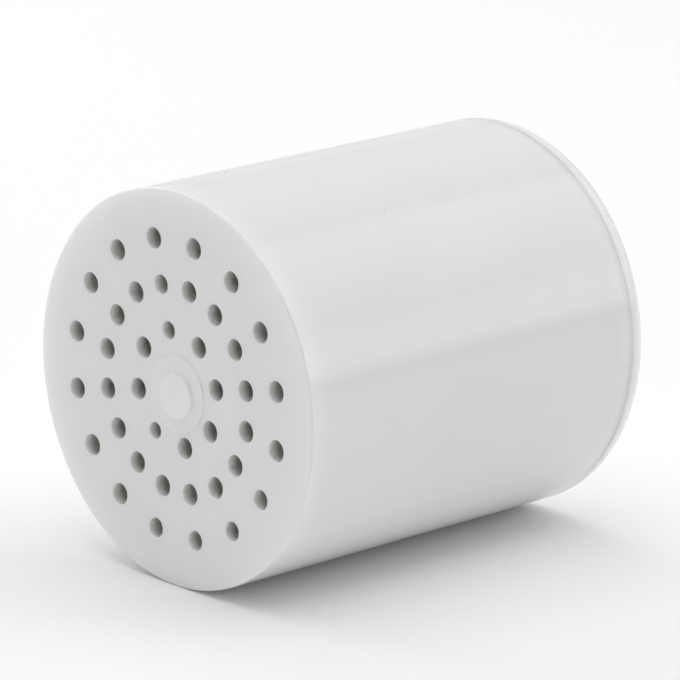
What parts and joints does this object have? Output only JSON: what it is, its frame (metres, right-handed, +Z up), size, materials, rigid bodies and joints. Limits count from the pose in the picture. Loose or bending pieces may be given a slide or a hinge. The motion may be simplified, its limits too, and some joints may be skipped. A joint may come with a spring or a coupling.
{
  "type": "shower filter cartridge",
  "caption": "White cylindrical shower filter cartridge: a cup with a perforated, slightly dished end and a press-in perforated lid, holding screens, felts and layered filter media.",
  "frame": {"origin": "on the surface that the cartridge lies on, under the middle of its barrel", "axes": "+Z up; the cylinder's axis runs along Y, with the perforated end of the cup facing -Y and the lid facing +Y, so the cartridge lies on its barrel as it does in the picture"},
  "size_m": [0.07, 0.08, 0.07],
  "materials": {
    "white_plastic": "satin moulded polypropylene, slightly translucent",
    "steel_mesh": "plain woven stainless wire",
    "felt": "white needled polypropylene felt",
    "nonwoven": "thin bonded non-woven",
    "calcium_sulfite": "matte off-white beads",
    "copper_zinc": "fine bright brass-coloured granules",
    "carbon": "broken black granules",
    "zeolite": "crushed grey-green mineral",
    "brown_ceramic": "matte fired balls",
    "pale_ceramic": "matte fired balls",
    "dark_ceramic": "matte fired balls"
  },
  "bodies": {
    "cup_and_media": {"cup": "white_plastic", "calcium_sulfite_bed": "calcium_sulfite", "separator_1": "nonwoven", "copper_zinc_bed": "copper_zinc", "separator_2": "nonwoven", "carbon_bed": "carbon", "separator_3": "nonwoven", "zeolite_bed": "zeolite", "separator_4": "nonwoven", "infrared_ball_bed": "brown_ceramic", "separator_5": "nonwoven", "alkaline_ball_bed": "pale_ceramic", "separator_6": "nonwoven", "tourmaline_ball_bed": "dark_ceramic", "outlet_felt": "felt", "outlet_screen": "steel_mesh"},
    "lid_and_inlet_pad": {"lid": "white_plastic", "inlet_screen": "steel_mesh", "inlet_felt": "felt"}
  },
  "joints": [
    {"name": "lid_pull", "type": "slide", "parent": "cup_and_media", "child": "lid_and_inlet_pad", "axis": [0, 1, 0], "range_m": [0, 0.05]}
  ]
}
